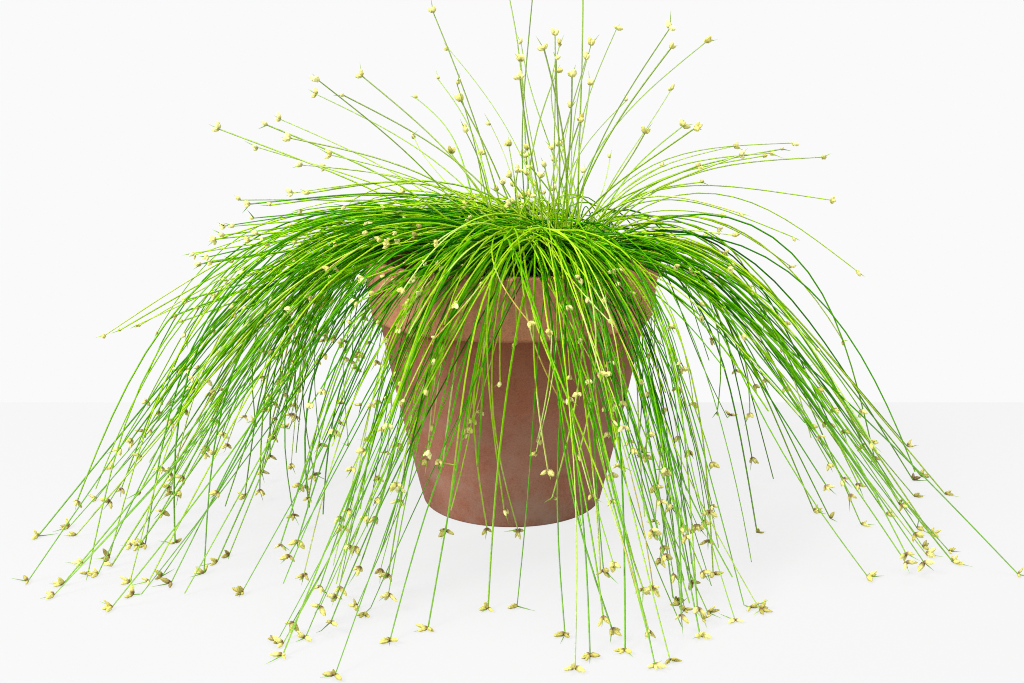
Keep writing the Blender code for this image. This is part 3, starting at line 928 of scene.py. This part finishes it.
def plane_curves(run, rise, launch, stiffness):
    """Stems that leave at their launch angle and droop just enough to land on (run, rise).

    Gives each stem's length, and its (out, up) points at equal steps of its length.
    """
    steps = (np.arange(CURVE_STEPS) + 0.5) / CURVE_STEPS
    shares = bend_share(steps[None], stiffness[:, None])
    least = np.zeros(len(run))
    most = np.full(len(run), MOST_DROOP)
    goal = np.arctan2(rise, run)
    for _ in range(SEARCH_STEPS):
        droop = (least + most) / 2
        angles = launch[:, None] - droop[:, None] * shares
        high = np.arctan2(np.sin(angles).sum(1), np.cos(angles).sum(1)) > goal
        least = np.where(high, droop, least)
        most = np.where(high, most, droop)
    out = np.cumsum(np.cos(angles), 1)
    up = np.cumsum(np.sin(angles), 1)
    step = np.hypot(run, rise) / np.hypot(out[:, -1], up[:, -1])
    start = np.zeros((len(run), 1))
    curve = np.stack((np.concatenate((start, out), 1), np.concatenate((start, up), 1)), -1)
    return step * CURVE_STEPS, curve * step[:, None, None]


def launch_for_crest(run, rise, stiffness, crest):
    """The launch angles with which stems rise this far above their starts on their way to (run, rise)."""
    low = np.full(len(run), LEAST_LAUNCH)
    high = np.full(len(run), MOST_LAUNCH)
    for _ in range(CREST_STEPS):
        launch = (low + high) / 2
        curve = plane_curves(run, rise, launch, stiffness)[1]
        flat = curve[..., 1].max(1) < crest
        low = np.where(flat, launch, low)
        high = np.where(flat, high, launch)
    return launch


def sampled(curve, shares):
    """Points of each curve at shares of its length, in rows."""
    place = np.clip(shares, 0, 1) * CURVE_STEPS
    low = np.minimum(place.astype(int), CURVE_STEPS - 1)
    part = (place - low)[..., None]
    row = np.arange(len(curve))[:, None]
    return curve[row, low] * (1 - part) + curve[row, low + 1] * part


def clears_rim(points):
    """True for stems that pass over the pot's rim, and through neither its wall nor the mix."""
    out = np.hypot(points[..., 0], points[..., 1])
    over = (out > POT_RADIUS - WALL - RIM_MARGIN) & (out < POT_RADIUS + RIM_MARGIN)
    low = over & (points[..., 2] < POT_HEIGHT + LIP_MARGIN)
    inside = (out < POT_RADIUS - 0.001) & (points[..., 2] < SOIL_TOP - 0.004)
    return ~(low | inside).any(1)


def stem_points(stems, sway, rng):
    """Rows of points for stems, level vectors beside them, and which of them clear the rim.

    Sway is how far the stems stray sideways.
    """
    count = len(stems.start)
    launch, stiffness, run = stems.launch, stems.stiffness, stems.run
    chord = stems.end - stems.start
    out = level_ways(np.arctan2(chord[:, 1], chord[:, 0]))
    beside = beside_of(out)
    reach = np.hypot(chord[:, 0], chord[:, 1])
    grown = np.linspace(0, 1, STEM_RINGS - RUN_RINGS) ** 1.2
    ends = np.arange(1, RUN_RINGS + 1) / RUN_RINGS
    bow = rng.normal(0, 1, count) * sway
    wave = rng.normal(0, 0.4, count) * sway
    veer = rng.normal(0, 0.35, count)
    hang = np.where(stems.kept < 1, rng.uniform(0, 2, count) * HANG, 0)
    rise = plane_curves(reach, chord[:, 2], launch, stiffness)[1][..., 1].max(1)
    for _ in range(RIM_TRIES):
        length, curve = plane_curves(reach, chord[:, 2], launch, stiffness)
        ending = np.where(run > 0, run / length, END_SHARE * stems.kept)
        main = np.where(run > 0, 1.0, stems.kept - ending)
        shares = np.concatenate((grown * main[:, None], main[:, None] + ends * ending[:, None]), 1)
        flat = sampled(curve, shares)
        beyond = np.maximum(shares - 1, 0) * length[:, None]
        side = bow[:, None] * np.sin(np.pi * np.minimum(shares, 1))
        side = side + wave[:, None] * np.sin(2 * np.pi * np.minimum(shares, 1))
        side = side + beyond * np.sin(veer)[:, None]
        forward = flat[..., 0] + beyond * np.cos(veer)[:, None] - hang[:, None] * shares ** 3
        points = stems.start[:, None] + out[:, None] * forward[..., None] + beside[:, None] * side[..., None]
        points[..., 2] = np.maximum(points[..., 2] + flat[..., 1], STEM_ON_FLOOR)
        bad = ~clears_rim(points)
        if not bad.any():
            break
        stiffness = np.where(bad, stiffness * RETRY_STIFFNESS, stiffness)
        rise = np.where(bad, rise + RETRY_RISE, rise)
        launch = np.where(bad, launch_for_crest(reach, chord[:, 2], stiffness, rise), launch)
    return points, beside, ~bad


def kept_up(lines, lies, least):
    """Unit vectors along these lines. Those that lie on the floor point down no more than this."""
    lines[lies, 2] = np.maximum(lines[lies, 2], least)
    return unit(lines)


def crosswise(lines):
    """Vectors at a right angle to these."""
    return unit(np.cross(lines, np.array((0.1, 0.2, 0.97)) + 0 * lines))


def spikelets(tips, forward, size, low, rng):
    """One to four spikelets at each tip. Low down there are more of them, and they are more slender."""
    number = 1 + rng.binomial(3, 0.34 + 0.42 * low)
    owner = np.repeat(np.arange(len(tips)), number)
    order = np.concatenate([np.arange(n) for n in number])
    count = len(owner)
    lies = tips[owner, 2] < LYING_UNDER
    axis = kept_up(forward[owner], lies, -0.05)
    spin = rng.uniform(0, 2 * np.pi, len(tips))[owner] + order * SPIKELET_SPIN
    any_side = unit(np.cross(axis, np.array((0.31, 0.22, 0.92))))
    radial = any_side * np.cos(spin)[:, None] + np.cross(axis, any_side) * np.sin(spin)[:, None]
    open_angle = np.radians(rng.uniform(*SPIKELET_ANGLES, count) + 14 * low[owner])
    pointing = unit(axis * np.cos(open_angle)[:, None] + radial * np.sin(open_angle)[:, None])
    pointing = kept_up(pointing, lies, -0.02)
    length = rng.uniform(*SPIKELET_LENGTHS, count) * size[owner]
    thick = length * (rng.uniform(*SPIKELET_WIDTHS, count) - 0.13 * low[owner])
    points = tips[owner][:, None] + pointing[:, None] * (SPIKELET_RINGS[:, None] * length[:, None, None])
    points[..., 2] = np.maximum(points[..., 2], thick[:, None] * 0.8 + 0.0001)
    row = np.arange(len(SPIKELET_RINGS))[:, None]
    lumps = 1 + 0.08 * (-1.0) ** (row + np.arange(SPIKELET_SIDES))
    radii = thick[:, None, None] * SPIKELET_PROFILE[:, None] * lumps
    ripe = 0.74 - 0.26 * low + rng.normal(0, 0.16, len(tips))
    tint = np.clip(ripe[owner] + rng.normal(0, 0.06, count), 0, 1)
    return tubes(points, radii, crosswise(pointing), SPIKELET_SIDES, columns=8, tint=tint)


def bracts(tips, forward, size, tint, rng):
    """The thin bract at each tip, which sticks out past its spikelets."""
    length = rng.uniform(*BRACT_LENGTHS, len(tips)) * size
    line = unit(forward + rng.normal(0, 0.42, forward.shape))
    line = kept_up(line, tips[:, 2] < LYING_UNDER, -0.02)
    steps = np.linspace(0, 1, len(BRACT_TAPER))
    points = tips[:, None] + line[:, None] * (length[:, None] * steps)[..., None]
    points[..., 2] = np.maximum(points[..., 2], 0.0004)
    radii = np.full((len(tips), 1), BRACT_RADIUS) * BRACT_TAPER
    return tubes(points, radii, crosswise(line), 4, columns=8, tint=tint)


def lock_facts(node):
    """Direction in radians, and reach, of the lock that a solid stands for."""
    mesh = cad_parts[node].data
    places = np.empty(len(mesh.vertices) * 3)
    mesh.vertices.foreach_get("co", places)
    places = places.reshape(-1, 3)
    foot = places[places[:, 2] < CROWN_TOP + 0.0005]
    foot = foot[np.hypot(foot[:, 0], foot[:, 1]) < CROWN_RADIUS + 0.004]
    middle = (foot.min(0) + foot.max(0)) / 2
    return math.atan2(middle[1], middle[0]), np.hypot(places[:, 0], places[:, 1]).max()


def ring_nodes(ring):
    return sorted(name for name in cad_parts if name.startswith(ring))


def nearest_lock(point, directions):
    facing = math.atan2(point[1], point[0])
    gaps = [abs((facing - direction + np.pi) % (2 * np.pi) - np.pi) for direction in directions]
    return int(np.argmin(gaps))


def crests(count, growth, rng):
    """How high each stem's arch is."""
    return rng.normal(growth.crest, growth.crest_vary, count)


def stiffnesses(growth, facing, crest, rng):
    """How soon each stem bends: a low arch bends sooner than a high one, and then runs straight."""
    low = np.clip((growth.crest - crest) / growth.crest_vary, -1.5, 1.5)
    sooner = 1 + FRONT_STIFFNESS * np.sin(facing) ** 4
    return growth.stiffness * sooner * (1 + 0.22 * low) * rng.uniform(0.66, 1.28, len(crest))


def crown_places(radius, turn, facing, crossing):
    """Places on the crown, round the place that the stems which face this way fan out from."""
    front = np.maximum(-np.sin(facing), 0)
    x = FAN_CENTRE[0] - crossing * front * np.cos(facing) + radius * np.cos(turn)
    y = FAN_CENTRE[1] + radius * np.sin(turn)
    inward = np.minimum(1, (CROWN_RADIUS - 0.003) / np.maximum(np.hypot(x, y), 1e-6))
    return np.stack((x * inward, y * inward, 0 * turn + CROWN_TOP), -1)


def launches(start, end, stiffness, crest):
    run = np.hypot(end[:, 0] - start[:, 0], end[:, 1] - start[:, 1])
    rise = np.maximum(crest, LEAST_CREST) - CROWN_TOP
    return launch_for_crest(run, end[:, 2] - start[:, 2], stiffness, rise)


def random_stems(direction, reach, growth, way, rng):
    """One lock's stems, spread round its direction."""
    direction += math.radians(way.turn)
    count = round(growth.stems * way.stems)
    start_radius = rng.uniform(growth.start_low ** 2, growth.start_high ** 2, count) ** 0.5
    start_turn = direction + np.radians(rng.normal(0, growth.start_fan, count))
    start = crown_places(start_radius, start_turn, direction, growth.crossing)
    bundles = max(2, round(count / BUNDLE))
    bundle = rng.integers(0, bundles, count)
    fan = rng.normal(0, growth.fan, bundles)[bundle] + rng.normal(0, BUNDLE_FAN, count)
    turn = direction + np.radians(fan)
    share = rng.uniform(growth.least_reach, MOST_REACH, bundles)[bundle]
    share = share + rng.normal(0, BUNDLE_REACH, count)
    end = round_places(reach * way.reach * np.minimum(share, 1.0), turn, STEM_ON_FLOOR)
    crest = crests(bundles, growth, rng)[bundle] - way.lower + rng.normal(0, BUNDLE_CREST, count)
    stiffness = stiffnesses(growth, turn, crest, rng)
    launch = launches(start, end, stiffness, crest)
    back = BACK_FROM < direction < BACK_TO
    lands = rng.random(count) < (BACK_FLOOR_SHARE if back else growth.floor_share)
    grown = MOST_KEPT - (MOST_KEPT - growth.least_kept) * rng.random(count) ** 1.25
    if back:
        grown = rng.uniform(*BACK_KEPT, count)
    kept = np.where(lands, 1.0, grown)
    run = np.where(lands & (rng.random(count) < RUN_SHARE), rng.uniform(*RUN_LENGTHS, count), 0.0)
    # A low arch lies under the others, so its tint is made darker: painted shade.
    under_others = np.clip((growth.crest - crest) / growth.crest_vary, -1.2, 1.5)
    tint = rng.normal(growth.tint + way.tint, growth.tint_vary, count) - UNDER_PAINTED_SHADE * under_others
    tint = np.clip(tint, LEAST_TINT, MOST_TINT)
    for odd_share, odd_tints in ((PALE_SHARE, PALE_TINTS), (WILTED_SHARE, WILTED_TINTS)):
        tint = np.where(rng.random(count) < odd_share, rng.uniform(*odd_tints, count), tint)
    headed = rng.random(count) < HEADED_SHARE
    return Stems(start, end, launch, stiffness, kept, run, tint, headed)


def whole_stems(start, tips, launch, stiffness, tint):
    """Stems that have grown all their way, each with a head."""
    count = len(tips)
    return Stems(start, tips, launch, stiffness, np.ones(count), np.zeros(count), tint, np.ones(count, bool))


def stems_to(given, growth, way, rng):
    """Stems with given tips, some of them with given tints."""
    tips = np.array([tip for tip, _ in given])
    count = len(tips)
    facing = np.arctan2(tips[:, 1], tips[:, 0])
    start_turn = facing + np.radians(rng.normal(0, growth.start_fan, count))
    radius = rng.uniform(growth.start_low, growth.start_high, count)
    start = crown_places(radius, start_turn, facing, growth.crossing)
    crest = np.maximum(crests(count, growth, rng) - way.lower, tips[:, 2] + 0.004)
    stiffness = stiffnesses(growth, facing, crest, rng)
    launch = launches(start, tips, stiffness, crest)
    tint = np.clip(rng.normal(growth.tint, growth.tint_vary, count), LEAST_GIVEN_TINT, MOST_TINT)
    tint = np.array([own if wanted is None else wanted for own, (_, wanted) in zip(tint, given)])
    return whole_stems(start, tips, launch, stiffness, tint)


def make_stems(name, stems, sway, rng, material, replaced):
    """One piece of stems. Gives the tips that have heads, which way they point there, and their tints."""
    points, beside, clear = stem_points(stems, sway, rng)
    points, beside, tint, headed = points[clear], beside[clear], stems.tint[clear], stems.headed[clear]
    taper = np.linspace(1, 0, STEM_RINGS)
    thickness = rng.uniform(0.78, 1.25, len(points))[:, None]
    radii = thickness * (STEM_TIP_RADIUS + (STEM_BASE_RADIUS - STEM_TIP_RADIUS) * taper)
    make_piece(name, tubes(points, radii, beside, STEM_SIDES, tint=tint), material, replaced)
    tips = points[headed]
    return tips[:, -1], unit(tips[:, -1] - tips[:, -2]), tint[headed]


def make_heads(name, groups, rng, head_look, stem_look):
    """The flower heads, and their bracts, at the ends of these groups of stems."""
    tips, forward, tint = (np.concatenate(parts) for parts in zip(*groups))
    low = np.clip(1 - tips[:, 2] / LOW_HEADS_UNDER, 0, 1)
    high = np.clip((tips[:, 2] - HIGH_HEADS_OVER) / HIGH_HEADS_RISE, 0, 1)
    size = 1 + 0.56 * low + 0.22 * high
    make_piece(f"{name}_heads", spikelets(tips, forward, size, low, rng), head_look)
    make_piece(f"{name}_bracts", bracts(tips, forward, size, tint, rng), stem_look)


def given_tips(ring):
    """The places of the tips that are given for a ring of locks, each with its tint if that is given."""
    if ring == "high_lock":
        return [(on_floor(pixel), None) for pixel in FLOOR_TIPS]
    if ring == "middle_lock":
        return [(short_tip(pixel), None) for pixel in SHORT_TIPS]
    pixels = HANGING_TIPS + PALE_TIPS + WILTED_TIPS
    tints = [None] * len(HANGING_TIPS) + [PALE_TINT] * len(PALE_TIPS) + [WILTED_TINT] * len(WILTED_TIPS)
    depths = [HANGING_DEPTH + HANGING_SPREAD * math.sin(i * GOLDEN_ANGLE) for i in range(len(pixels))]
    return [(at_depth(pixel, depth), tint) for pixel, depth, tint in zip(pixels, depths, tints)]


def make_locks(stem_look, head_look):
    """The stems of every lock. A stem whose tip is given belongs to the nearest lock."""
    for growth in GROWTHS:
        nodes = ring_nodes(growth.ring)
        facts = [lock_facts(node) for node in nodes]
        directions = [direction for direction, _ in facts]
        given = [[] for _ in nodes]
        for point, tint in given_tips(growth.ring):
            given[nearest_lock(point, directions)].append((point, tint))
        groups = []
        for i, (node, (direction, reach)) in enumerate(zip(nodes, facts)):
            rng = np.random.default_rng([len(growth.ring), i])
            way = LOCK_WAYS[growth.ring].get(i + 1, LockWay())
            stems = random_stems(direction, reach, growth, way, rng)
            if given[i]:
                own_growth = HANGING_GROWTH if growth.ring == "low_lock" else growth
                own = stems_to(given[i], own_growth, way, rng)
                stems = Stems(*(np.concatenate(pair) for pair in zip(stems, own)))
            groups.append(make_stems(f"{node}_stems", stems, growth.sway, rng, stem_look, [node]))
        make_heads(growth.ring, groups, np.random.default_rng(len(growth.ring)), head_look, stem_look)


def tall_tips(rng):
    """Where the tall stems end, nearer and further inside a round, and shorter ones in a tuft."""
    tips = []
    for i, pixel in enumerate(UPRIGHT_TIPS):
        side = at_depth(pixel, 0.0)[0]
        deep = 0.8 * math.sqrt(max(0.0, TALL_SPREAD ** 2 - side ** 2)) * math.sin(i * GOLDEN_ANGLE)
        tips.append(at_depth(pixel, deep))
    steep = np.radians(rng.uniform(*TUFT_SLOPES, TUFT_STEMS))
    length = rng.uniform(*TUFT_LENGTHS, TUFT_STEMS)
    turn = np.radians(rng.uniform(*TUFT_TURNS, TUFT_STEMS))
    tuft = round_places(length * np.cos(steep), turn, CROWN_TOP + length * np.sin(steep))
    tips = np.concatenate((tips, tuft))
    tips[:, 2] = np.minimum(tips[:, 2], MOST_HEIGHT)
    return tips


def make_uprights(stem_look, head_look):
    """The tall stems that stand out above the rest. The more level ones droop more, most so at the right."""
    rng = np.random.default_rng(23)
    tips = tall_tips(rng)
    count = len(tips)
    facing = np.arctan2(tips[:, 1], tips[:, 0])
    start_turn = facing + np.radians(rng.normal(0, 35, count))
    start = crown_places(rng.uniform(0.004, 0.027, count), start_turn, facing, 0.0)
    chord = tips - start
    straight = np.arctan2(chord[:, 2], np.hypot(chord[:, 0], chord[:, 1]))
    level = 1 - straight / (np.pi / 2)
    right = np.clip(np.cos(facing), 0, 1) * level
    excess = rng.uniform(0.20, 0.66 - 0.22 * level) + 0.34 * right
    launch = straight + excess * (MOST_LAUNCH - straight)
    stiffness = rng.uniform(1.6, 3.2, count) + 1.0 * level
    tint = np.clip(rng.normal(TALL_TINT, TALL_TINT_VARY, count), *TALL_TINTS)
    stems = whole_stems(start, tips, launch, stiffness, tint)
    group = make_stems("tall_stems", stems, TALL_SWAY, rng, stem_look, ring_nodes("stray_stem"))
    make_heads("tall_stem", [group], rng, head_look, stem_look)


# Stage


def add_camera():
    data = bpy.data.cameras.new("photo_view")
    data.sensor_fit = "HORIZONTAL"
    data.sensor_width = SENSOR_WIDTH
    data.lens = FOCAL_PIXELS * SENSOR_WIDTH / PHOTO_WIDTH
    data.clip_start = 0.01
    data.clip_end = 50
    camera = bpy.data.objects.new("photo_view", data)
    camera.location = (0.0, -CAMERA_DISTANCE, CAMERA_HEIGHT)
    camera.rotation_euler = (math.pi / 2 - CAMERA_PITCH, 0.0, 0.0)
    bpy.context.scene.collection.objects.link(camera)
    bpy.context.scene.camera = camera


def add_softbox(name, place, size, power):
    data = bpy.data.lights.new(name, "AREA")
    data.shape = "RECTANGLE"
    data.size, data.size_y = size
    data.energy = power
    light = bpy.data.objects.new(name, data)
    light.location = place
    away = np.array(place) - np.array(LIT_PLACE)
    tilt = math.atan2(math.hypot(away[0], away[1]), away[2])
    light.rotation_euler = (tilt, 0.0, math.atan2(away[0], -away[1]))
    bpy.context.scene.collection.objects.link(light)


def add_stage():
    scene = bpy.context.scene
    scene.view_settings.view_transform = "Standard"
    scene.cycles.filter_width = 1.0
    world = bpy.data.worlds.new("white_room")
    world.use_nodes = True
    tree = world.node_tree
    seen = add_node(tree, "ShaderNodeLightPath").outputs["Is Camera Ray"]
    tone = mixed(tree, seen, (ROOM_LIGHT,) * 3, (BACKDROP_TONE,) * 3)
    tree.links.new(tone, tree.nodes["Background"].inputs["Color"])
    scene.world = world
    half = FLOOR_SIZE / 2
    mesh = bpy.data.meshes.new("floor")
    corners = [(-half, -half, 0), (half, -half, 0), (half, half, 0), (-half, half, 0)]
    mesh.from_pydata(corners, [], [(0, 1, 2, 3)])
    mesh.materials.append(floor_material())
    floor = bpy.data.objects.new("floor", mesh)
    floor.location = (0.0, 0.0, -FLOOR_DROP)
    scene.collection.objects.link(floor)
    for name, (place, size, power) in SOFTBOXES.items():
        add_softbox(name, place, size, power)


def main():
    add_camera()
    add_stage()
    stem_look = stem_material()
    head_look = head_material()
    make_pot(clay_material())
    make_soil(mix_material())
    make_crown(sheath_material())
    make_locks(stem_look, head_look)
    make_uprights(stem_look, head_look)


main()
